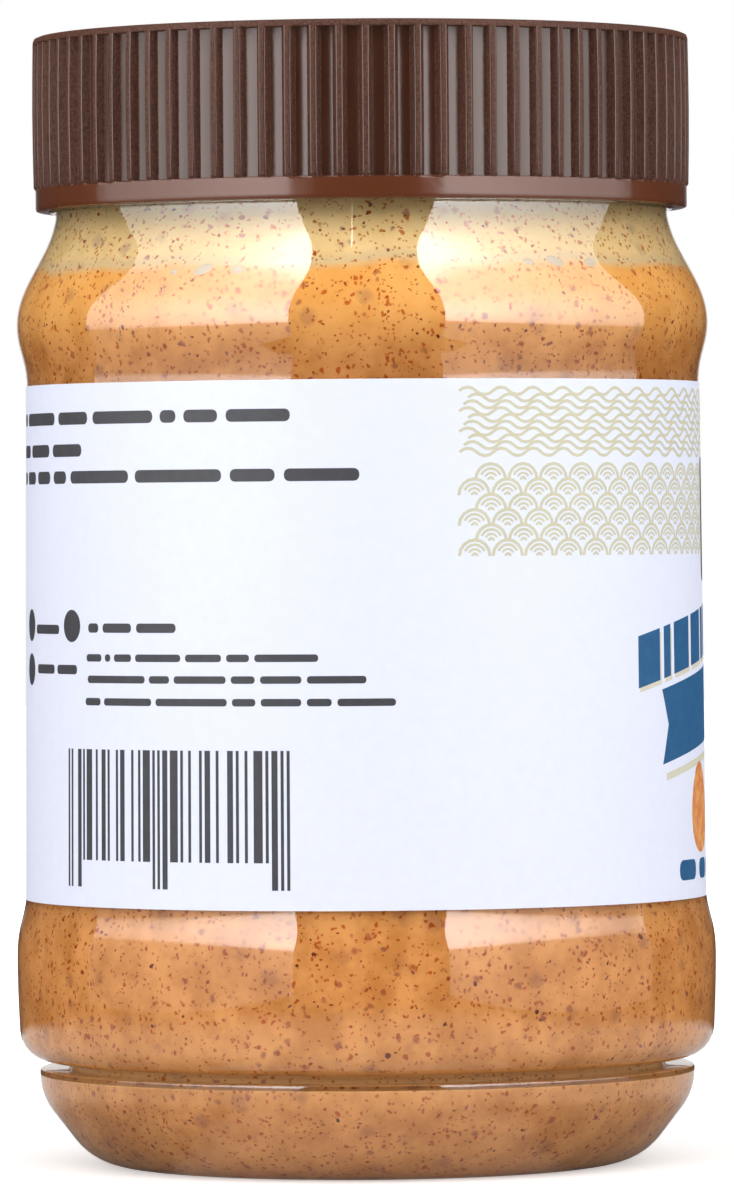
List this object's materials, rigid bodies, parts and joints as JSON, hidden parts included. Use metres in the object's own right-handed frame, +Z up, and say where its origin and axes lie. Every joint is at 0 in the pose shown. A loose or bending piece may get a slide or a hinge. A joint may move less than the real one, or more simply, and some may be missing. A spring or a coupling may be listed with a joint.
{
  "type": "almond butter jar",
  "caption": "Closed clear plastic jar of speckled tan almond butter with a paler oil-rich layer on top, a brown ribbed screw lid and a white wrap-round label.",
  "frame": {"origin": "middle of the flat ring on which the jar stands", "axes": "+Z up along the jar's axis, -Y towards the shown front and +X to the right of somebody who faces it"},
  "size_m": [0.0768, 0.0768, 0.1237],
  "materials": {
    "clear_plastic": "gloss",
    "almond_butter": "satin",
    "oil_layer": "satin",
    "lid_plastic": "satin",
    "label_paper": "satin"
  },
  "bodies": {
    "root": {"jar": "clear_plastic", "almond_butter": "almond_butter", "oil_layer": "oil_layer", "lid": "lid_plastic", "label": "label_paper"}
  },
  "joints": []
}
